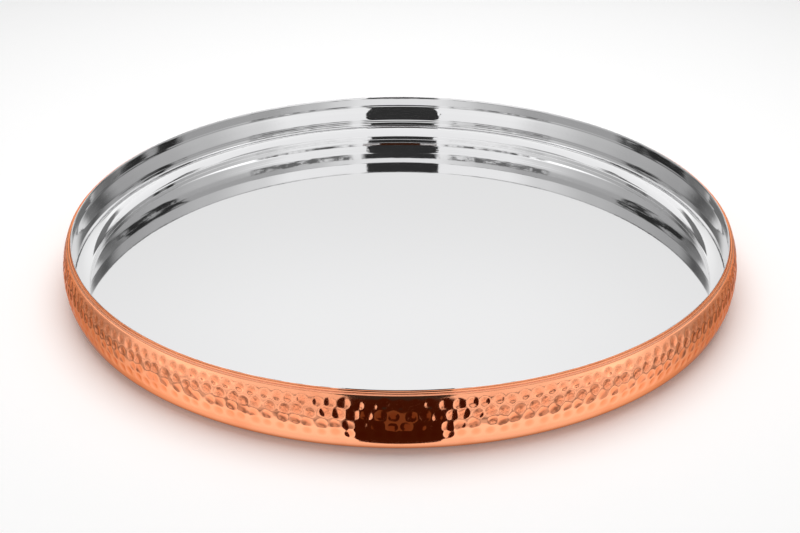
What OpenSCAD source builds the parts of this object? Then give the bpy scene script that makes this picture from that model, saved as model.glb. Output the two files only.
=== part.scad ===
// Double-walled thali plate: a polished steel dish inside a hammered copper shell.
// Millimetres, +Z up. The origin is the centre of the face that the plate rests on.

/* [Overall] */
// Largest outer diameter, at the belly of the copper shell
plate_d = 330; // [240:1:420]
// Height from the table to the top of the steel lip
plate_h = 28.5; // [24:0.5:45]

/* [Steel dish] */
// Thickness of the steel sheet
dish_t = 0.3; // [0.2:0.05:1]
// Height of the eating surface above the table
floor_h = 3.2; // [2.4:0.1:5]
// Radius of the sweep from the floor up into the wall
dish_fillet_r = 9; // [5:0.5:11]
// Radius of the slight outward curve of the wall, seen in section
dish_wall_curve_r = 60; // [50:5:120]
// How far the wall swells out below the lip, which locks the hem in place
dish_swell = 0.9; // [0.5:0.1:1.4]
// Height of the conical neck between the swelling and the lip
neck_h = 5.2; // [4.5:0.1:6]
// How far the steel edge stands above the copper hem
lip_proud = 0.7; // [0.5:0.1:1]

/* [Copper shell] */
// Thickness of the copper sheet
shell_t = 0.2; // [0.15:0.05:0.6]
// Radius of the belly, seen in section
belly_curve_r = 30; // [27:1:40]
// Radius of the bend from the side down to the foot ring
foot_bend_r = 7; // [5:0.5:9]
// Width of the flat ring that the plate rests on
foot_ring_w = 10; // [6:0.5:20]
// Radius of the two bends where the base rises from the ring to its panel
panel_bend_r = 1.1; // [0.8:0.1:2]
// Radius of the bend at the top of the side
shoulder_r = 1.5; // [1.2:0.1:2]
// Height of the rolled hem at the top of the shell
hem_h = 1.2; // [1:0.1:1.6]
// How far the hem stands out from the steel lip
hem_w = 1.3; // [1.1:0.1:1.8]
// Height of the slit between the hem and the shoulder
groove_h = 0.15; // [0.1:0.05:0.4]
// How far the slit reaches in from the crest of the shoulder
groove_d = 0.5; // [0.2:0.1:1]
// Clearance between the hem and the steel that it is crimped round
crimp_gap = 0.02; // [0.01:0.01:0.1]

/* [Hidden] */

// Facets round the plate, and degrees between the points of an arc in the outlines
round_facets = 240;
arc_step = 6;

// Copper hem
hem_top_z = plate_h - lip_proud;
hem_low_z = hem_top_z - hem_h;
hem_round_r = hem_h / 2;

// Copper belly, with the shoulder above it and the foot bend below it
shoulder_z = hem_low_z - groove_h;
belly_z = plate_h / 2;
belly_centre_r = plate_d / 2 - belly_curve_r;
shoulder_tilt = asin((shoulder_z - shoulder_r - belly_z) / (belly_curve_r - shoulder_r));
shoulder_centre_r = belly_centre_r + (belly_curve_r - shoulder_r) * cos(shoulder_tilt);
foot_tilt = asin((foot_bend_r - belly_z) / (belly_curve_r - foot_bend_r));
foot_centre_r = belly_centre_r + (belly_curve_r - foot_bend_r) * cos(foot_tilt);

// Outer radius of the steel lip, which the hem closes round
hem_root_r = shoulder_centre_r - groove_d;
lip_r = hem_root_r + hem_round_r - hem_w;

// Steel wall: the outer face bulges by dish_swell below the lip, along one large arc
neck_z = plate_h - neck_h;
swell_r = lip_r + dish_swell;
fillet_out_r = dish_fillet_r + dish_t;
fillet_z = floor_h + dish_fillet_r;
wall_mid_z = (fillet_z + neck_z) / 2;
wall_centre_r = swell_r - dish_wall_curve_r;
wall_tilt = asin((neck_z - wall_mid_z) / (dish_wall_curve_r - dish_t));
fillet_tilt = asin((fillet_z - wall_mid_z) / (dish_wall_curve_r - fillet_out_r));
fillet_centre_r = wall_centre_r + (dish_wall_curve_r - fillet_out_r) * cos(fillet_tilt);

// Cone of the neck on its outer side, from the swelling to the foot of the rounded edge
edge_r = dish_t / 2;
neck_foot_r = wall_centre_r + dish_wall_curve_r * cos(wall_tilt);
neck_foot_z = wall_mid_z + dish_wall_curve_r * sin(wall_tilt);
edge_z = plate_h - edge_r;

// Raised panel of the base, whose top carries the steel floor
panel_top_z = floor_h - dish_t;
panel_z = panel_top_z - shell_t;
panel_bend = min(panel_bend_r, panel_z / 2);
ring_in_r = foot_centre_r - foot_ring_w;
panel_edge_r = ring_in_r - 2 * panel_bend;

// Points of an arc about [x, y] from angle a0 to angle a1, both ends included
function arc(c, r, a0, a1) =
    let (n = max(2, ceil(abs(a1 - a0) / arc_step)))
    [for (i = [0 : n]) let (a = a0 + (a1 - a0) * i / n) c + r * [cos(a), sin(a)]];

// Outer radius of the steel neck at height z
function neck_r(z) =
    neck_foot_r + (lip_r - neck_foot_r) * (z - neck_foot_z) / (edge_z - neck_foot_z);

// One side of the steel sheet in section: inset 0 is the outer face, dish_t the inner one
function dish_face(inset) = concat(
    [[0, floor_h - dish_t + inset]],
    arc([fillet_centre_r, fillet_z], fillet_out_r - inset, -90, fillet_tilt),
    arc([wall_centre_r, wall_mid_z], dish_wall_curve_r - inset, fillet_tilt, wall_tilt)
);

// Half section of the steel dish, with a fully rounded edge
function dish_outline() = concat(
    dish_face(0),
    arc([lip_r - edge_r, edge_z], edge_r, 0, 180),
    [for (i = [len(dish_face(dish_t)) - 1 : -1 : 0]) dish_face(dish_t)[i]]
);

// One side of the copper sheet in section, from the axis out to the top of the shoulder
function shell_face(inset) = concat(
    [[0, panel_z + inset]],
    arc([panel_edge_r, panel_z - panel_bend], panel_bend + inset, 90, 0),
    arc([ring_in_r, panel_bend], panel_bend - inset, 180, 270),
    arc([foot_centre_r, foot_bend_r], foot_bend_r - inset, -90, foot_tilt),
    arc([belly_centre_r, belly_z], belly_curve_r - inset, foot_tilt, shoulder_tilt),
    arc([shoulder_centre_r, shoulder_z - shoulder_r], shoulder_r - inset, shoulder_tilt, 90)
);

// Half section of the copper shell, whose hem is rolled tight against the steel neck
function shell_outline() = concat(
    shell_face(0),
    [[hem_root_r, shoulder_z]],
    arc([hem_root_r, hem_low_z + hem_round_r], hem_round_r, -90, 90),
    [for (z = [hem_top_z, shoulder_z - shell_t]) [neck_r(z) + crimp_gap, z]],
    [for (i = [len(shell_face(shell_t)) - 1 : -1 : 0]) shell_face(shell_t)[i]]
);

// Polished steel dish that holds the food
module inner_dish() {
    color("silver")
        rotate_extrude($fn = round_facets)
            polygon(dish_outline());
}

// Copper shell: base with foot ring, belly side and rolled hem, pressed from one sheet
module outer_shell() {
    color("peru")
        rotate_extrude($fn = round_facets)
            polygon(shell_outline());
}

inner_dish();
outer_shell();
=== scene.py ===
"""Thali plate: a mirror-polished steel dish set in a hammered copper shell, on a white studio floor.

Everything is in metres in the row frame: +Z up along the plate's axis, the origin on the floor.
"""

import math
import random

import bpy
import numpy as np
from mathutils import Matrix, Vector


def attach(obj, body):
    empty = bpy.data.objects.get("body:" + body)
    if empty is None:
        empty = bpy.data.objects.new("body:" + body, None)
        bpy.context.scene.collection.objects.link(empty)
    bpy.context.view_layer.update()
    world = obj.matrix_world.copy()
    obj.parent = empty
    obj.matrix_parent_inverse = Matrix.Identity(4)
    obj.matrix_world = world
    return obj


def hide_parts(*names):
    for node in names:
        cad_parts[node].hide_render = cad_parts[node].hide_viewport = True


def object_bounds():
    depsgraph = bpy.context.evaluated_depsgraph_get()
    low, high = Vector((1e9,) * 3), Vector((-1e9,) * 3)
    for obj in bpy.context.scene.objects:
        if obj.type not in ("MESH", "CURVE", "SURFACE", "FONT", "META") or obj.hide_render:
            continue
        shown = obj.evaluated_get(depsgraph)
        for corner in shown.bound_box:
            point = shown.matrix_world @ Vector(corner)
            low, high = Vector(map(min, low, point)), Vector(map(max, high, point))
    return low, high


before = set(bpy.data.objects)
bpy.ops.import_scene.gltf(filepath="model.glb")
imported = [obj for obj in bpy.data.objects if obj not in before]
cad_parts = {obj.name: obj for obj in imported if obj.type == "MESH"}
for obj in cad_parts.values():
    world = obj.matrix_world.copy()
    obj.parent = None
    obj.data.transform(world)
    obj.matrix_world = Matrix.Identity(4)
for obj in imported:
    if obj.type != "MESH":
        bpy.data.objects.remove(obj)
cad_low, cad_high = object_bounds()

MM = 0.001

# How far the visible surfaces keep inside the CAD's, and the margin when heights are compared
SHY = 0.01 * MM

# The same driving sizes as the CAD source, in metres
PLATE_R = cad_high.x - SHY
PLATE_H = cad_high.z
DISH_T = 0.3 * MM
FLOOR_Z = 3.2 * MM
DISH_FILLET_R = 9 * MM
DISH_WALL_CURVE_R = 60 * MM
DISH_SWELL = 0.9 * MM
NECK_H = 5.2 * MM
LIP_PROUD = 0.7 * MM
SHELL_T = 0.2 * MM
BELLY_CURVE_R = 30 * MM
FOOT_BEND_R = 7 * MM
FOOT_RING_W = 10 * MM
PANEL_BEND_R = 1.1 * MM
SHOULDER_R = 1.5 * MM
HEM_H = 1.2 * MM
HEM_W = 1.3 * MM
GROOVE_H = 0.15 * MM
GROOVE_D = 0.5 * MM
CRIMP_GAP = 0.02 * MM

# Copper hem, shoulder, belly, foot bend and raised panel, worked out as the CAD source does
HEM_TOP_Z = PLATE_H - LIP_PROUD
HEM_LOW_Z = HEM_TOP_Z - HEM_H
HEM_ROUND_R = HEM_H / 2
SHOULDER_Z = HEM_LOW_Z - GROOVE_H
BELLY_Z = PLATE_H / 2
BELLY_CENTRE_R = PLATE_R - BELLY_CURVE_R
SHOULDER_TILT = math.asin((SHOULDER_Z - SHOULDER_R - BELLY_Z) / (BELLY_CURVE_R - SHOULDER_R))
SHOULDER_CENTRE_R = BELLY_CENTRE_R + (BELLY_CURVE_R - SHOULDER_R) * math.cos(SHOULDER_TILT)
FOOT_TILT = math.asin((FOOT_BEND_R - BELLY_Z) / (BELLY_CURVE_R - FOOT_BEND_R))
FOOT_CENTRE_R = BELLY_CENTRE_R + (BELLY_CURVE_R - FOOT_BEND_R) * math.cos(FOOT_TILT)
HEM_ROOT_R = SHOULDER_CENTRE_R - GROOVE_D
PANEL_Z = FLOOR_Z - DISH_T - SHELL_T
PANEL_BEND = min(PANEL_BEND_R, PANEL_Z / 2)
RING_IN_R = FOOT_CENTRE_R - FOOT_RING_W
PANEL_EDGE_R = RING_IN_R - 2 * PANEL_BEND

# Steel lip, neck and wall, worked out as the CAD source does
LIP_R = HEM_ROOT_R + HEM_ROUND_R - HEM_W
NECK_Z = PLATE_H - NECK_H
WALL_MID_Z = (FLOOR_Z + DISH_FILLET_R + NECK_Z) / 2
WALL_CENTRE_R = LIP_R + DISH_SWELL - DISH_WALL_CURVE_R
WALL_TILT = math.asin((NECK_Z - WALL_MID_Z) / (DISH_WALL_CURVE_R - DISH_T))
EDGE_R = DISH_T / 2
EDGE_Z = PLATE_H - EDGE_R
NECK_FOOT_R = WALL_CENTRE_R + DISH_WALL_CURVE_R * math.cos(WALL_TILT)
NECK_FOOT_Z = WALL_MID_Z + DISH_WALL_CURVE_R * math.sin(WALL_TILT)

# In the photo the hem is lower than the CAD's, and the bend at the top of the side is tighter
HEM_SEEN_H = 0.55 * MM
CREST_R = 0.25 * MM
CREST_Z = HEM_TOP_Z - HEM_SEEN_H - GROOVE_H
CREST_TILT = math.asin((CREST_Z - CREST_R - BELLY_Z) / (BELLY_CURVE_R - CREST_R))
CREST_CENTRE_R = BELLY_CENTRE_R + (BELLY_CURVE_R - CREST_R) * math.cos(CREST_TILT)

# Points round the plate. For the copper: the hammered side, the smooth bands, and what is hidden.
FINE, SMOOTH, HIDDEN = 2160, 360, 180
# For the steel: where it bears the faint print, and elsewhere
DISH_FINE, DISH_SMOOTH = 1440, 720


class Tree:
    """Shorthands for the nodes of one material or world."""

    def __init__(self, owner):
        owner.use_nodes = True
        self.nodes, self.links = owner.node_tree.nodes, owner.node_tree.links

    def put(self, value, socket):
        if isinstance(value, bpy.types.NodeSocket):
            self.links.new(value, socket)
        else:
            socket.default_value = value

    def node(self, kind, **inputs):
        """A new node with some of its inputs filled in."""
        node = self.nodes.new(kind)
        for name, value in inputs.items():
            self.put(value, node.inputs[name.replace("_", " ")])
        return node

    def math(self, operation, *values):
        node = self.nodes.new("ShaderNodeMath")
        node.operation = operation
        for value, socket in zip(values, node.inputs):
            self.put(value, socket)
        return node.outputs[0]

    def smooth(self, value, start, end, low=0.0, high=1.0):
        """Goes smoothly from low to high while value goes from start to end."""
        node = self.nodes.new("ShaderNodeMapRange")
        node.interpolation_type = "SMOOTHSTEP"
        for socket, number in zip(node.inputs, (value, start, end, low, high)):
            self.put(number, socket)
        return node.outputs[0]

    def band(self, value, low, high, edge):
        """1 between low and high, with soft edges."""
        return self.math(
            "MULTIPLY",
            self.smooth(value, low - edge, low + edge),
            self.smooth(value, high - edge, high + edge, 1.0, 0.0),
        )

    def blend(self, share, a, b):
        """Number a where share is 0 and number b where it is 1."""
        node = self.nodes.new("ShaderNodeMix")
        for value, socket in zip((share, a, b), (0, 2, 3)):
            self.put(value, node.inputs[socket])
        return node.outputs[0]

    def mix(self, share, a, b):
        """Colour a where share is 0 and colour b where it is 1."""
        node = self.nodes.new("ShaderNodeMix")
        node.data_type = "RGBA"
        for value, socket in zip((share, a, b), (0, 6, 7)):
            self.put(value, node.inputs[socket])
        return node.outputs[2]

    def curve(self, value, stops, span):
        """The level at value, read off stops of (value, level). Values run to span, levels to 2."""
        node = self.nodes.new("ShaderNodeValToRGB")
        node.color_ramp.interpolation = "EASE"
        marks = node.color_ramp.elements
        while len(marks) < len(stops):
            marks.new(0.5)
        for mark, (place, _) in zip(marks, stops):
            mark.position = place / span
        for mark, (_, level) in zip(marks, stops):
            mark.color = (level / 2,) * 3 + (1,)
        self.put(self.math("DIVIDE", value, span), node.inputs[0])
        return self.math("MULTIPLY", node.outputs[0], 2.0)

    def place(self):
        """Object coordinates x, y and z, and the distance from the plate's axis."""
        split = self.node("ShaderNodeSeparateXYZ")
        self.put(self.nodes.new("ShaderNodeTexCoord").outputs["Object"], split.inputs[0])
        x, y, z = split.outputs
        squares = self.math("ADD", self.math("MULTIPLY", x, x), self.math("MULTIPLY", y, y))
        return x, y, z, self.math("SQRT", squares)

    def azimuth(self, x, y):
        """Degrees round the plate from the camera's side, the same to the left and to the right."""
        turn = self.math("ARCTAN2", self.math("ABSOLUTE", x), self.math("MULTIPLY", y, -1.0))
        return self.math("DEGREES", turn)


def arc(centre, radius, start, end, steps):
    """Points of an arc in section, from angle start to end in degrees."""
    angles = np.radians(np.linspace(start, end, steps + 1))
    ways = np.stack([np.cos(angles), np.sin(angles)], 1)
    return [(centre[0] + radius * c, centre[1] + radius * s) for c, s in ways]


def neck_r(z):
    """Outer radius of the steel neck at height z."""
    return NECK_FOOT_R + (LIP_R - NECK_FOOT_R) * (z - NECK_FOOT_Z) / (EDGE_Z - NECK_FOOT_Z)


def new_object(name, mesh):
    obj = bpy.data.objects.new(name, mesh)
    bpy.context.scene.collection.objects.link(obj)
    return obj


def rings_of(points, count):
    return [(r, z, count) for r, z in points]


def faces_between(n, m, a, b):
    """Faces from a ring of n points, the first with index a, to the next ring of m, the first with b."""
    if n == 1:
        return [[a, b + (s + 1) % m, b + s] for s in range(m)]
    if m == 1:
        return [[a + s, a + (s + 1) % n, b] for s in range(n)]
    if n == m:
        i = np.arange(n)
        j = (i + 1) % n
        return np.stack([a + i, a + j, b + j, b + i], 1).tolist()
    if n > m:
        k = n // m
        return [
            [a + (k * i + s) % n for s in range(k + 1)] + [b + (i + 1) % m, b + i]
            for i in range(m)
        ]
    k = m // n
    return [
        [a + i, a + (i + 1) % n] + [b + (k * i + s) % m for s in range(k, -1, -1)]
        for i in range(n)
    ]


def revolve(name, rings):
    """A closed body of revolution from rings of (radii, heights, count).

    Radii and heights are numbers, or arrays of count values. A ring of count 1 is a point on the axis.
    Of two neighbouring rings, one count divides the other.
    """
    points, starts = [], []
    for radii, heights, count in rings:
        starts.append(sum(len(ring) for ring in points))
        turn = np.arange(count) * (2 * math.pi / count)
        radii = np.broadcast_to(radii, (count,))
        heights = np.broadcast_to(heights, (count,))
        points.append(np.stack([radii * np.cos(turn), radii * np.sin(turn), heights], 1))
    counts = [count for _, _, count in rings]
    faces = []
    for n, m, a, b in zip(counts, counts[1:], starts, starts[1:]):
        faces += faces_between(n, m, a, b)
    mesh = bpy.data.meshes.new(name)
    mesh.from_pydata(np.concatenate(points).tolist(), [], faces)
    mesh.shade_smooth()
    return new_object(name, mesh)


# ---------------------------------------------------------------- hammered copper

# Hammer marks: one row per entry, from the top down, in millimetres
HAMMER_ROWS = (
    # height, marks in the row, smallest and largest diameter, depth, scatter
    (23.3, 187, 4.0, 4.9, 0.27, 0.35),
    (18.9, 186, 4.5, 5.6, 0.37, 0.70),
    (14.5, 188, 4.5, 5.6, 0.37, 0.70),
    (10.3, 185, 4.0, 5.0, 0.36, 0.40),
)
# The struck band runs from this height up to just short of the crest, with tilts in radians
HAMMER_LOW_Z = 7.2 * MM
HAMMER_LOW_TILT = math.asin((HAMMER_LOW_Z - BELLY_Z) / BELLY_CURVE_R)
HAMMER_TOP_TILT = CREST_TILT - 0.0003
HAMMER_STEPS = 35
# Degrees between the smooth belly below and the band
BAND_CLEAR = 0.1
# How far a place without a mark stands above a mark's edge, and how soft that edge is
UNTOUCHED = 0.5 * MM
EDGE_SOFT = 0.018 * MM
# Depth at which a mark has its full colour, darker and redder with painted shade
HAMMER_FULL = 0.3 * MM
# Depth of the hidden inner face below the belly, which clears the marks
HAMMER_BACK = 0.6 * MM


def hammer_depth(tilt):
    """Depth of the hammer marks over the fine grid: rows by tilt, columns round the plate."""
    rng = random.Random(7)
    depth = np.full((len(tilt), FINE), -UNTOUCHED)
    along = tilt * BELLY_CURVE_R
    column = 2 * math.pi * PLATE_R / FINE
    row_step = along[1] - along[0]
    for height, marks, small, large, deep, scatter in HAMMER_ROWS:
        middle = math.asin((height * MM - BELLY_Z) / BELLY_CURVE_R) * BELLY_CURVE_R
        pitch = 2 * math.pi * PLATE_R / marks
        phase = rng.random()
        for mark in range(marks):
            across = (mark + phase) * pitch + rng.gauss(0, scatter * MM)
            up = middle + rng.gauss(0, 0.6 * scatter * MM)
            radius = rng.uniform(small, large) / 2 * MM
            strength = deep * MM * rng.uniform(0.8, 1.15)
            reach = int(radius / column) + 3
            first = round(across / column) - reach
            columns = np.arange(first, first + 2 * reach + 1)
            low = max(0, int((up - radius - along[0]) / row_step) - 2)
            high = min(len(tilt), int((up + radius - along[0]) / row_step) + 4)
            dx = (columns * column - across)[None, :]
            dy = (along[low:high] - up)[:, None]
            cap = strength * (1 - (dx * dx + dy * dy) / radius**2)
            at = columns % FINE
            depth[low:high, at] = np.maximum(depth[low:high, at], cap)
    return 0.5 * (depth + np.sqrt(depth * depth + EDGE_SOFT * EDGE_SOFT))


def struck_band():
    """Rings of the hammered band, and the depth of the marks on them."""
    tilt = np.linspace(HAMMER_LOW_TILT, HAMMER_TOP_TILT, HAMMER_STEPS + 1)
    out = np.stack([np.cos(tilt), np.sin(tilt)], 1)
    middle = np.array([BELLY_CENTRE_R, BELLY_Z]) + BELLY_CURVE_R * out
    rise = np.clip((tilt - tilt[0]) / (tilt[2] - tilt[0]), 0, 1)
    fall = np.clip((tilt[-1] - tilt) / (tilt[-1] - tilt[-3]), 0, 1)
    depth = hammer_depth(tilt) * (rise * fall)[:, None]
    rings = [(r - d * c, z - d * s, FINE) for (r, z), (c, s), d in zip(middle, out, depth)]
    return rings, depth


def copper_shell():
    """The copper from the middle of its base, out and up to the hem, and back along the inside."""
    foot, low, crest, shoulder = (
        math.degrees(tilt) for tilt in (FOOT_TILT, HAMMER_LOW_TILT, CREST_TILT, SHOULDER_TILT)
    )
    panel_bend, ring_bend = (PANEL_EDGE_R, PANEL_Z - PANEL_BEND), (RING_IN_R, PANEL_BEND)
    foot_bend, belly = (FOOT_CENTRE_R, FOOT_BEND_R), (BELLY_CENTRE_R, BELLY_Z)

    rings = [(0, PANEL_Z, 1), (PANEL_EDGE_R * 0.5, PANEL_Z, HIDDEN)]
    rings += rings_of(arc(panel_bend, PANEL_BEND, 90, 0, 5), HIDDEN)
    rings += rings_of(arc(ring_bend, PANEL_BEND, 180, 270, 5), HIDDEN)
    rings += rings_of(arc(foot_bend, FOOT_BEND_R, -90, foot, 11), SMOOTH)
    rings += rings_of(arc(belly, BELLY_CURVE_R, foot, low - BAND_CLEAR, 2)[1:], SMOOTH)
    band_start = sum(count for _, _, count in rings)
    band, depth = struck_band()
    rings += band
    rings += rings_of(arc((CREST_CENTRE_R, CREST_Z - CREST_R), CREST_R, crest, 90, 5), SMOOTH)

    hem_r = HEM_SEEN_H / 2
    root = HEM_ROOT_R + HEM_ROUND_R - hem_r
    rings += rings_of([(root, CREST_Z)] + arc((root, HEM_TOP_Z - hem_r), hem_r, -90, 90, 10), SMOOTH)
    crimp = [(neck_r(z) + CRIMP_GAP, z) for z in (HEM_TOP_Z, SHOULDER_Z - SHELL_T)]
    rings += rings_of(crimp, SMOOTH)

    shoulder_bend = (SHOULDER_CENTRE_R, SHOULDER_Z - SHOULDER_R)
    inside = arc(shoulder_bend, SHOULDER_R - SHELL_T, 90, shoulder, 3)
    inside += arc(belly, BELLY_CURVE_R - HAMMER_BACK, shoulder - 2, foot + 2, 8)
    inside += arc(foot_bend, FOOT_BEND_R - SHELL_T, foot, -90, 4)
    inside += arc(ring_bend, PANEL_BEND - SHELL_T, 270, 180, 3)
    inside += arc(panel_bend, PANEL_BEND + SHELL_T, 0, 90, 3)
    rings += rings_of(inside, HIDDEN)
    rings.append((0, PANEL_Z + SHELL_T, 1))

    obj = revolve("copper_shell", rings)
    struck = obj.data.attributes.new("struck", "FLOAT", "POINT")
    values = np.zeros(len(obj.data.vertices), dtype=np.float32)
    values[band_start:band_start + depth.size] = np.clip(depth / HAMMER_FULL, 0, 1).ravel()
    struck.data.foreach_set("value", values)
    return obj


# ---------------------------------------------------------------- steel dish

# Slope of the wall's inner face, from the top down: how far it leans outwards going up
WALL_TILTS = (
    # height in millimetres, degrees
    (27.75, 4.0),
    (27.60, -6.6),
    (25.50, -6.1),
    (23.15, -5.8),
    (22.98, -1.5),
    (22.50, -1.5),
    (22.35, -8.0),
    (21.95, -8.0),
    (21.65, 6.2),
    (18.70, 4.4),
    (18.30, 3.0),
    (15.30, 2.3),
    (13.55, -2.5),
    (13.40, -8.7),
    (12.95, -8.7),
    (12.85, -1.5),
    (12.35, -1.5),
    (12.25, -8.7),
    (11.90, -8.7),
    (11.75, -1.5),
    (10.15, -1.5),
    (10.00, -8.7),
    (8.10, -8.7),
)
WALL_STEP = 0.5 * MM

# Below the wall: the ramp with the bend that leads to it, then the kerb, and the floor's corner
BEND_R = 0.35 * MM
RAMP_TOP_TILT, RAMP_LOW_TILT = 60, 80.5
RAMP_R = 19.6 * MM
KERB_R = 0.15 * MM
KERB_MID_Z = 4.15 * MM
KERB_TILT = -1
CORNER_R = 0.12 * MM

# Faint print of the hammering on the inner wall: one row of marks, in millimetres
PRINT_MARKS, PRINT_HEIGHT, PRINT_SIZE, PRINT_DEPTH = 279, 18.2, 2.4, 0.010
PRINT_LOW_Z, PRINT_TOP_Z = 9.6 * MM, 19.4 * MM

# The steel's hidden face follows every sixth ring of the inner face that lies above this height
BACK_LOW_Z = FLOOR_Z + 0.4 * MM
BACK_STRIDE = 6


def slide(point, radius, start, end, steps, bulge):
    """An arc in section that goes down from point while the tilt changes from start to end, in degrees.
    bulge is 1 where the metal is hollow, seen from inside the dish, and -1 where it is crowned."""
    a, b = math.radians(start), math.radians(end)
    centre = (point[0] - bulge * radius * math.cos(a), point[1] + bulge * radius * math.sin(a))
    return [
        (centre[0] + bulge * radius * math.cos(t), centre[1] - bulge * radius * math.sin(t))
        for t in np.linspace(a, b, steps + 1)
    ][1:]


def dish_inside():
    """Inner face of the steel in section, from the foot of the rounded lip down to the floor's edge."""
    heights = [z * MM for z, _ in WALL_TILTS]
    tilts = [t for _, t in WALL_TILTS]
    points = [(LIP_R - DISH_T, EDGE_Z)]
    for top, low in zip([EDGE_Z] + heights, heights):
        levels = np.linspace(top, low, max(1, round((top - low) / WALL_STEP)) + 1)
        for upper, lower in zip(levels, levels[1:]):
            tilt = float(np.interp((upper + lower) / 2, heights[::-1], tilts[::-1]))
            inwards = (upper - lower) * math.tan(math.radians(tilt))
            points.append((points[-1][0] - inwards, float(lower)))
    points += slide(points[-1], BEND_R, tilts[-1], RAMP_TOP_TILT, 4, 1)
    points += slide(points[-1], RAMP_R, RAMP_TOP_TILT, RAMP_LOW_TILT, 9, 1)
    points += slide(points[-1], KERB_R, RAMP_LOW_TILT, KERB_TILT, 5, -1)
    lean = math.tan(math.radians(KERB_TILT))
    foot_z = FLOOR_Z + CORNER_R * (1 - math.sin(math.radians(KERB_TILT)))
    for low in (KERB_MID_Z, foot_z):
        r, top = points[-1]
        levels = np.linspace(top, low, 5).tolist()[1:]
        points += [(r - (top - z) * lean, z) for z in levels]
    points += slide(points[-1], CORNER_R, KERB_TILT, 90, 5, 1)
    return points


def print_depth(heights):
    """Depth of the faint print over the inner wall: rows by height, columns round the plate."""
    rng = random.Random(21)
    depth = np.zeros((len(heights), DISH_FINE))
    column = 2 * math.pi * LIP_R / DISH_FINE
    pitch = 2 * math.pi * LIP_R / PRINT_MARKS
    for mark in range(PRINT_MARKS):
        across = mark * pitch + rng.gauss(0, 0.5 * MM)
        up = PRINT_HEIGHT * MM + rng.gauss(0, 0.3 * MM)
        radius = PRINT_SIZE * MM * rng.uniform(0.8, 1.15) / 2
        reach = int(radius / column) + 1
        middle = round(across / column)
        columns = np.arange(middle - reach, middle + reach + 1)
        dx = (columns * column - across)[None, :]
        dy = (heights - up)[:, None]
        near = np.clip(1 - (dx * dx + dy * dy) / radius**2, 0, None)
        at = columns % DISH_FINE
        pressed = PRINT_DEPTH * MM * rng.uniform(0.5, 1.2) * near
        depth[:, at] = np.maximum(depth[:, at], pressed)
    return depth


def steel_dish():
    """The steel from the middle of its underside, out and up to the lip, and back along the inside."""
    inside = np.array(dish_inside())
    along = np.gradient(inside, axis=0)
    along /= np.linalg.norm(along, axis=1)[:, None]
    out = np.stack([-along[:, 1], along[:, 0]], 1)
    outside = inside + DISH_T * out
    outside = outside[(outside[:, 1] > FLOOR_Z - DISH_T + SHY) & (inside[:, 1] > BACK_LOW_Z)]
    outside = outside[outside[:, 1] < HEM_LOW_Z][::-BACK_STRIDE]
    neck = [(neck_r(z) - SHY, z) for z in (HEM_LOW_Z, HEM_TOP_Z - 0.2 * MM)]
    lip = arc((LIP_R - EDGE_R, EDGE_Z), EDGE_R, 0, 180, 10)[:-1]

    rings = [(0, FLOOR_Z - DISH_T, 1), (inside[-1][0], FLOOR_Z - DISH_T, HIDDEN)]
    rings += rings_of(outside.tolist(), HIDDEN)
    rings += rings_of(neck + lip, DISH_SMOOTH)
    for (r, z), d in zip(inside.tolist(), print_depth(inside[:, 1])):
        if PRINT_LOW_Z - SHY < z < PRINT_TOP_Z:
            rings.append((r - d, z, DISH_FINE))
        else:
            rings.append((r, z, DISH_SMOOTH))
    rings.append((0, FLOOR_Z, 1))

    obj = revolve("steel_dish", rings)
    # The level floor and underside are shaded flat, so that they mirror truly up to their edges
    for face in obj.data.polygons:
        if abs(face.normal.z) > 0.99999:
            face.use_smooth = False
    return obj


# ---------------------------------------------------------------- materials

STEEL = (0.86, 0.86, 0.865, 1)
STEEL_ROUGHNESS = (0.02, 0.05)
STREAK_LENGTH, STREAK_WIDTH = 0.016, 0.0007
STREAK_BUMP = 0.000012
# The streaks are full on the lip. Going down they fade to a share on the wall, and again on the floor.
LIP_STREAKS, WALL_SHARE = (22.6 * MM, 24 * MM), 0.16
WALL_STREAKS, FLOOR_SHARE = (FLOOR_Z + 0.1 * MM, FLOOR_Z + 2 * MM), 0.12


def polished_steel():
    """Even tone, with faint marks left by the polishing wheel as it ran round the dish."""
    material = bpy.data.materials.new("polished_steel")
    tree = Tree(material)
    shader = tree.nodes["Principled BSDF"]
    shader.inputs["Metallic"].default_value = 1
    shader.inputs["Base Color"].default_value = STEEL
    x, y, z, radius = tree.place()
    along = tree.node(
        "ShaderNodeCombineXYZ",
        X=tree.math("DIVIDE", x, STREAK_LENGTH),
        Y=tree.math("DIVIDE", y, STREAK_LENGTH),
        Z=tree.math("DIVIDE", tree.math("ADD", z, radius), STREAK_WIDTH),
    )
    streaks = tree.node(
        "ShaderNodeTexNoise", Vector=along.outputs[0], Scale=1.0, Detail=2.0, Roughness=0.55
    )
    rough = tree.smooth(streaks.outputs[0], 0.3, 0.75, *STEEL_ROUGHNESS)
    tree.put(rough, shader.inputs["Roughness"])
    share = tree.math(
        "MULTIPLY",
        tree.smooth(z, *LIP_STREAKS, WALL_SHARE, 1.0),
        tree.smooth(z, *WALL_STREAKS, FLOOR_SHARE, 1.0),
    )
    height = tree.math("MULTIPLY", streaks.outputs[0], share)
    bump = tree.node("ShaderNodeBump", Height=height, Distance=STREAK_BUMP, Strength=1.0)
    tree.put(bump.outputs[0], shader.inputs["Normal"])
    return material


# Copper: between the marks, inside them (darker, a painted shade), where it has aged, seen at a slant,
# and in the hem's slit (paler, a painted light)
COPPER_HIGH = (1.0, 0.41, 0.225, 1)
COPPER_DEEP_SHADE = (0.93, 0.31, 0.15, 1)
COPPER_AGED = (0.88, 0.29, 0.14, 1)
COPPER_SLANT = (1.0, 0.55, 0.38, 1)
# The slit's colour is paler than the copper: a painted light that lifts the slit's dark shade
COPPER_SLIT = (0.90, 0.45, 0.28, 1)
COPPER_ROUGHNESS, AGED_ROUGHER, SLIT_ROUGHER = (0.07, 0.12), 0.03, 0.25
CLOUD_SCALE, GRAIN_SCALE = 55.0, 900.0
GRAIN_BUMP = 0.000004
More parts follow.
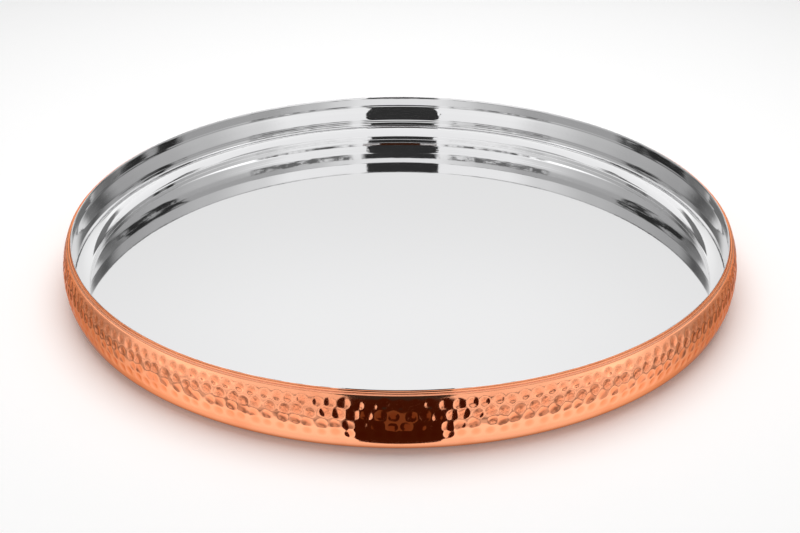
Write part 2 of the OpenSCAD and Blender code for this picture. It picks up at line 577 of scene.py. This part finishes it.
# The slit between the crest of the side and the hem: its heights, and where it opens outwards
SLIT_SOFT = 0.04 * MM
SLIT_LOW_Z, SLIT_TOP_Z = CREST_Z - SLIT_SOFT, HEM_TOP_Z - HEM_SEEN_H + 0.15 * MM
SLIT_MOUTH = (CREST_CENTRE_R - 0.1 * MM, CREST_CENTRE_R + 0.2 * MM)


def slit_mask(tree, z, radius):
    """1 in the slit and 0 outside it."""
    return tree.math(
        "MULTIPLY",
        tree.band(z, SLIT_LOW_Z, SLIT_TOP_Z, SLIT_SOFT),
        tree.smooth(radius, *SLIT_MOUTH, 1.0, 0.0),
    )


def hammered_copper():
    """Darker and redder inside the marks, a painted shade of their hollows, and paler in the hem's slit,
    a painted light; clouded with age in patches, with a fine grain.
    """
    material = bpy.data.materials.new("hammered_copper")
    tree = Tree(material)
    shader = tree.nodes["Principled BSDF"]
    shader.inputs["Metallic"].default_value = 1
    shader.inputs["Specular Tint"].default_value = COPPER_SLANT
    _, _, z, radius = tree.place()
    struck = tree.nodes.new("ShaderNodeAttribute")
    struck.attribute_name = "struck"
    spot = tree.nodes.new("ShaderNodeTexCoord").outputs["Object"]
    noise = dict(Vector=spot, Roughness=0.6)
    clouds = tree.node("ShaderNodeTexNoise", Scale=CLOUD_SCALE, Detail=3.0, **noise).outputs[0]
    grain = tree.node("ShaderNodeTexNoise", Scale=GRAIN_SCALE, Detail=2.0, **noise).outputs[0]
    slit = slit_mask(tree, z, radius)

    # Inside the marks the colour is darker and redder: a painted shade that stands in for the shading of
    # the hollows
    colour = tree.mix(struck.outputs["Fac"], COPPER_HIGH, COPPER_DEEP_SHADE)
    colour = tree.mix(tree.smooth(clouds, 0.45, 0.75, 0.0, 0.5), colour, COPPER_AGED)
    # Paler in the hem's slit: painted light over the slit's shade; its extra roughness below is real
    tree.put(tree.mix(slit, colour, COPPER_SLIT), shader.inputs["Base Color"])

    rough = tree.smooth(grain, 0.3, 0.7, *COPPER_ROUGHNESS)
    rough = tree.math("ADD", rough, tree.smooth(clouds, 0.4, 0.7, 0.0, AGED_ROUGHER))
    rough = tree.math("ADD", rough, tree.math("MULTIPLY", slit, SLIT_ROUGHER))
    tree.put(rough, shader.inputs["Roughness"])

    bump = tree.node("ShaderNodeBump", Height=grain, Distance=GRAIN_BUMP, Strength=1.0)
    tree.put(bump.outputs[0], shader.inputs["Normal"])
    return material


dish = steel_dish()
dish.data.materials.append(polished_steel())
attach(dish, "root")
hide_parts("inner_dish")

shell = copper_shell()
shell.data.materials.append(hammered_copper())
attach(shell, "root")
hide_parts("outer_shell")

# ---------------------------------------------------------------- studio: cards

# Dark cards in front of the plate, which only reflections see: an upright one with rounded ends, and
# two brown ones below it, one flat on the table and one that stands along its far edge
CARD_Y = -0.565
LOW_CARD_Y = CARD_Y - 0.001
CAPSULE_X, CAPSULE_Z = -0.0117, 0.230
CAPSULE_HALF_W, CAPSULE_HALF_H, CAPSULE_END = 0.160, 0.136, 0.045
CAPSULE_STEPS = 24
CAPSULE_LEVEL = (0.036, 0.036, 0.036, 1)
LOW_CARD_HALF_W, LOW_CARD_TOP = 0.160, 0.096
TABLE_NEAR_Y, TABLE_NEAR_HALF_W, TABLE_CORNER = -0.1655, 0.0210, 0.004
TABLE_CARD_Z = 0.0003
BROWN = (0.048, 0.014, 0.005, 1)

# A paler patch on the table card, with an uneven outline: its right side, then its left
PATCH_OUTLINE = (
    (0.0040, -0.179),
    (0.0062, -0.186),
    (0.0050, -0.198),
    (0.0100, -0.215),
    (0.0080, -0.240),
    (0.0130, -0.270),
    (-0.0150, -0.275),
    (-0.0180, -0.240),
    (-0.0110, -0.216),
    (-0.0120, -0.200),
    (-0.0085, -0.190),
    (-0.0070, -0.181),
)
PATCH_Z = 0.0006
LIGHT_BROWN = (0.17, 0.085, 0.04, 1)


def glossy_card(name, points, faces, colour):
    """A card that only reflections see."""
    mesh = bpy.data.meshes.new(name)
    mesh.from_pydata(points, [], faces)
    card = new_object(name, mesh)
    material = bpy.data.materials.new(name)
    tree = Tree(material)
    tree.nodes.clear()
    glow = tree.node("ShaderNodeEmission", Color=colour)
    tree.put(glow.outputs[0], tree.nodes.new("ShaderNodeOutputMaterial").inputs["Surface"])
    mesh.materials.append(material)
    card.visible_camera = False
    card.visible_diffuse = False
    card.visible_transmission = False
    card.visible_volume_scatter = False
    card.visible_shadow = False
    return card


def flat_card(name, points, colour):
    glossy_card(name, points, [list(range(len(points)))], colour)


def capsule():
    """A wide upright card whose two ends are half ellipses."""
    points = []
    for side in (1, -1):
        for i in range(CAPSULE_STEPS + 1):
            a = math.radians(-90 + i * 180 / CAPSULE_STEPS) * side
            x = CAPSULE_X + side * (CAPSULE_HALF_W - CAPSULE_END + CAPSULE_END * math.cos(a))
            points.append((x, CARD_Y, CAPSULE_Z + CAPSULE_HALF_H * math.sin(a)))
    flat_card("slot_card", points, CAPSULE_LEVEL)


def table_card():
    """A card on the table that narrows towards the plate, and one that stands along its far edge."""
    far = LOW_CARD_HALF_W
    flat = [
        (-TABLE_NEAR_HALF_W + TABLE_CORNER, TABLE_NEAR_Y),
        (TABLE_NEAR_HALF_W - TABLE_CORNER, TABLE_NEAR_Y),
        (TABLE_NEAR_HALF_W, TABLE_NEAR_Y - TABLE_CORNER),
        (far, CARD_Y),
        (-far, CARD_Y),
        (-TABLE_NEAR_HALF_W, TABLE_NEAR_Y - TABLE_CORNER),
    ]
    flat_card("table_card", [(x, y, TABLE_CARD_Z) for x, y in flat], BROWN)
    corners = ((-far, TABLE_CARD_Z), (far, TABLE_CARD_Z), (far, LOW_CARD_TOP), (-far, LOW_CARD_TOP))
    flat_card("low_card", [(x, LOW_CARD_Y, z) for x, z in corners], BROWN)


def brown_card():
    flat_card("brown_card", [(x, y, PATCH_Z) for x, y in PATCH_OUTLINE], LIGHT_BROWN)


# Pale strips that stand round the plate, too low to be seen in the steel
STRIP_R, STRIP_LOW_Z, STRIP_TOP_Z = 0.225, 0.031, 0.0445
STRIP_START, STRIP_END, STRIP_POINTS = 10.1, 176, 120
# degrees from the camera's side, level
STRIP_LEVELS = ((10, 1.0), (25, 1.06), (42, 1.5), (58, 1.28), (85, 1.35), (120, 0.8), (176, 0.9))


def strip_cards():
    turn = np.radians(np.linspace(STRIP_START, STRIP_END, STRIP_POINTS))
    for side in (-1, 1):
        low = [(side * STRIP_R * math.sin(t), -STRIP_R * math.cos(t), STRIP_LOW_Z) for t in turn]
        top = [(x, y, STRIP_TOP_Z) for x, y, _ in low]
        n = len(low)
        faces = [(i, i + 1, n + i + 1, n + i) for i in range(n - 1)]
        card = glossy_card(f"strip_{side + 1}", low + top, faces, (1, 1, 1, 1))
        tree = Tree(card.data.materials[0])
        x, y, _, _ = tree.place()
        level = tree.curve(tree.azimuth(x, y), STRIP_LEVELS, 180)
        tree.put(level, tree.nodes["Emission"].inputs["Strength"])


capsule()
table_card()
brown_card()
strip_cards()

# ---------------------------------------------------------------- studio: floor

FLOOR_SIZE = 12
FLOOR_DROP = 0.05 * MM

# Its colour, pinker within the first of these distances from the axis and plain beyond the second: a
# painted glow of the light that the copper throws onto the floor
FLOOR_COLOUR, FLOOR_GLOW_PINK = (0.9, 0.9, 0.9, 1), (0.9, 0.85, 0.83, 1)
FLOOR_GLOW_SPAN = (0.160, 0.200)

# Its white for the camera: how much it shines by itself near the plate and far away
NEAR_SHINE, FAR_SHINE = 0.1, 0.75
SHINE_SPAN = (0.6, 1.5)

# What reflections see of it: a glow with painted shade, a painted contact shadow round the foot and a
# darker painted ring further out
FLOOR_LEVELS = (
    # millimetres from the axis, level
    (158, 0.08),
    (161, 0.42),
    (163.5, 0.85),
    (166, 1.1),
    (170, 1.22),
    (181, 1.28),
    (188, 0.72),
    (199, 0.65),
    (210, 1.22),
    (222, 1.22),
    (245, 1.05),
    (275, 1.05),
    (350, 1.28),
    (600, 1.30),
)
# Blotches of painted shade in that, beyond the nearest ring of floor
BLOTCH_SIZE, BLOTCH_DEPTH = 0.011, 0.55
BLOTCH_SPAN = (0.178, 0.190)
# Over these spans of y the level falls to SIDE_LEVEL, then rises again to FAR_SIDE_LEVEL: painted shade
# on the floor at the plate's left and right
SIDE_FALL, SIDE_LEVEL = (-0.152, -0.078), 0.52
SIDE_RISE, FAR_SIDE_LEVEL = (-0.045, 0.04), 0.8


def seen_floor(tree, radius, is_camera):
    """The floor as the camera and the light see it."""
    # Pinker near the plate: a painted glow of the copper's reflected light
    colour = tree.mix(tree.smooth(radius, *FLOOR_GLOW_SPAN), FLOOR_GLOW_PINK, FLOOR_COLOUR)
    diffuse = tree.node("ShaderNodeBsdfDiffuse", Color=colour)
    shine = tree.smooth(radius, *SHINE_SPAN, NEAR_SHINE, FAR_SHINE)
    glow = tree.node("ShaderNodeEmission", Strength=tree.math("MULTIPLY", is_camera, shine))
    both = tree.nodes.new("ShaderNodeAddShader")
    tree.put(diffuse.outputs[0], both.inputs[0])
    tree.put(glow.outputs[0], both.inputs[1])
    return both.outputs[0]


def mirrored_floor(tree, x, y, radius):
    """The floor as the plate's reflections see it: a glow with a painted contact shadow, a darker
    painted ring, painted blotches of shade and darker painted sides.
    """
    level = tree.curve(tree.math("MULTIPLY", radius, 1000.0), FLOOR_LEVELS, 600)
    spot = tree.node("ShaderNodeCombineXYZ", X=x, Y=y)
    blotch = tree.node(
        "ShaderNodeTexNoise", Vector=spot.outputs[0], Scale=1 / BLOTCH_SIZE, Detail=1.0
    )
    away = tree.smooth(radius, *BLOTCH_SPAN)
    shade = tree.smooth(blotch.outputs[0], 0.48, 0.62, 0.0, BLOTCH_DEPTH)
    shade = tree.math("MULTIPLY", away, shade)
    level = tree.math("MULTIPLY", level, tree.math("SUBTRACT", 1.0, shade))
    side = tree.math(
        "ADD",
        tree.smooth(y, *SIDE_FALL, 1.0, SIDE_LEVEL),
        tree.smooth(y, *SIDE_RISE, 0.0, FAR_SIDE_LEVEL - SIDE_LEVEL),
    )
    glow = tree.node("ShaderNodeEmission", Strength=tree.math("MULTIPLY", level, side))
    return glow.outputs[0]


def studio_floor():
    h, z = FLOOR_SIZE / 2, -FLOOR_DROP
    mesh = bpy.data.meshes.new("studio_floor")
    mesh.from_pydata([(-h, -h, z), (h, -h, z), (h, h, z), (-h, h, z)], [], [[0, 1, 2, 3]])
    floor = new_object("studio_floor", mesh)
    material = bpy.data.materials.new("studio_floor")
    tree = Tree(material)
    tree.nodes.remove(tree.nodes["Principled BSDF"])
    x, y, _, radius = tree.place()
    path = tree.nodes.new("ShaderNodeLightPath")
    both = tree.node("ShaderNodeMixShader", Fac=path.outputs["Is Glossy Ray"])
    tree.put(seen_floor(tree, radius, path.outputs["Is Camera Ray"]), both.inputs[1])
    tree.put(mirrored_floor(tree, x, y, radius), both.inputs[2])
    tree.put(both.outputs[0], tree.nodes["Material Output"].inputs["Surface"])
    mesh.materials.append(material)


studio_floor()

# ---------------------------------------------------------------- studio: world

# What reflections see of the studio's walls, at three elevations: degrees from the camera's side, level
LOW_LEVELS = ((0, 1.0), (38, 1.0), (64, 1.6), (88, 1.05), (112, 1.05), (140, 1.05), (165, 1.0))
MIDDLE_LEVELS = (
    (20, 1.05), (42, 1.05), (57, 0.82), (80, 0.6), (98, 0.5),
    (126, 0.42), (140, 0.12), (150, 0.2), (160, 0.84), (176, 0.87),
)
HIGH_LEVELS = (
    (15, 0.98), (24, 0.85), (36, 0.66), (55, 0.46), (95, 0.42),
    (126, 0.42), (140, 0.2), (150, 0.25), (160, 0.9), (176, 0.98),
)
TOP_LEVEL = 1.08

# The elevations, in degrees, over which each of these gives way to the next
LOW_TO_MIDDLE = (9, 11.5)
MIDDLE_TO_HIGH = (24, 31)
HIGH_TO_TOP = (34.8, 36.8)

# Dark flags that hang in the studio, whole or ragged
FLAGS = (
    # azimuth from and to, elevation from and to, lean in azimuth per degree of elevation, level, kind
    (97, 131, 27.6, 36.5, 1.5, 0.03, "torn"),
    (99, 112, 24.5, 31.0, 1.5, 0.03, "torn"),
    (-9, 15, 25.5, 30.6, 0.0, 0.036, "whole"),
    (20, 62, 25.0, 30.8, 0.0, 0.16, "specked"),
    (17, 62, 3.2, 7.4, 0.0, 0.06, "specked"),
)
RAGGED_KINDS = (
    # kind, how fast its pattern changes sideways and upwards, span of the noise from bare to covered
    ("torn", 4.0, 50.0, (0.34, 0.46)),
    ("specked", 13.0, 75.0, (0.42, 0.52)),
)
# Softness of a flag's edges in azimuth and in elevation, in degrees
FLAG_SOFT = (1.5, 0.6)

# Level of the light that the world casts on the floor
DIFFUSE_LEVEL = 0.30


def ragged_mask(tree, way, wide, tall, span):
    """Streaky noise in the direction way, from 0 to 1."""
    x, y, z = way
    streak = tree.node(
        "ShaderNodeCombineXYZ",
        X=tree.math("MULTIPLY", x, wide),
        Y=tree.math("MULTIPLY", y, wide),
        Z=tree.math("MULTIPLY", z, tall),
    )
    noise = tree.node("ShaderNodeTexNoise", Vector=streak.outputs[0], Scale=1.0, Detail=1.0)
    return tree.smooth(noise.outputs[0], *span)


def mirrored_world(tree, way):
    """The studio's level as reflections see it in the direction way."""
    x, y, z = way
    elevation = tree.math("DEGREES", tree.math("ARCSINE", z))
    azimuth = tree.azimuth(x, y)
    level = tree.curve(azimuth, LOW_LEVELS, 180)
    for stops, span in ((MIDDLE_LEVELS, LOW_TO_MIDDLE), (HIGH_LEVELS, MIDDLE_TO_HIGH)):
        level = tree.blend(tree.smooth(elevation, *span), level, tree.curve(azimuth, stops, 180))
    level = tree.blend(tree.smooth(elevation, *HIGH_TO_TOP), level, TOP_LEVEL)
    masks = {kind: ragged_mask(tree, way, *pattern) for kind, *pattern in RAGGED_KINDS}
    masks["whole"] = 1.0
    for start, end, low, top, lean, dark, kind in FLAGS:
        leaning = tree.math("MULTIPLY", tree.math("SUBTRACT", elevation, (low + top) / 2), lean)
        across = tree.band(tree.math("ADD", azimuth, leaning), start, end, FLAG_SOFT[0])
        flag = tree.math("MULTIPLY", across, tree.band(elevation, low, top, FLAG_SOFT[1]))
        level = tree.blend(tree.math("MULTIPLY", flag, masks[kind]), level, dark)
    return level


def studio_world():
    """White for the camera, a plain level for the light, and the studio's walls for reflections."""
    world = bpy.data.worlds.new("studio")
    bpy.context.scene.world = world
    tree = Tree(world)
    split = tree.nodes.new("ShaderNodeSeparateXYZ")
    tree.put(tree.nodes.new("ShaderNodeTexCoord").outputs["Generated"], split.inputs[0])
    path = tree.nodes.new("ShaderNodeLightPath")
    is_camera, is_glossy, is_transmission = (
        path.outputs[f"Is {kind} Ray"] for kind in ("Camera", "Glossy", "Transmission")
    )
    reflected = tree.math("MAXIMUM", is_glossy, is_transmission)
    level = tree.blend(reflected, DIFFUSE_LEVEL, mirrored_world(tree, tuple(split.outputs)))
    level = tree.blend(is_camera, level, 1.0)
    tree.put(level, tree.nodes["Background"].inputs["Strength"])
    tree.put((1, 1, 1, 1), tree.nodes["Background"].inputs["Color"])


studio_world()

# ---------------------------------------------------------------- studio: lamp

# Softbox over the plate, which gives the floor its share of light beyond the world's
SOFTBOX_AT = (0, 0.1, 0.9)
SOFTBOX_SIZE = 1.0
SOFTBOX_POWER = 8.0


def softbox():
    light = bpy.data.lights.new("softbox", "AREA")
    light.shape = "DISK"
    light.size = SOFTBOX_SIZE
    light.energy = SOFTBOX_POWER
    obj = new_object("softbox", light)
    obj.location = SOFTBOX_AT
    obj.visible_glossy = False


softbox()

# ---------------------------------------------------------------- camera

CAMERA_AT = (0, -0.5654, 0.2999)
CAMERA_TILT = 28.20
PIXELS_WIDE = 800
FOCAL_PIXELS = 1257
SENSOR_WIDTH = 36


def photo_camera():
    """The camera of the photo, which looks down at the plate from the front."""
    data = bpy.data.cameras.new("camera")
    data.sensor_width = SENSOR_WIDTH
    data.lens = FOCAL_PIXELS / PIXELS_WIDE * SENSOR_WIDTH
    data.clip_start = 0.01
    camera = new_object("camera", data)
    camera.location = CAMERA_AT
    camera.rotation_euler = (math.radians(90 - CAMERA_TILT), 0, 0)
    return camera


bpy.context.scene.camera = photo_camera()
bpy.context.scene.view_settings.view_transform = "Standard"

bpy.context.view_layer.update()
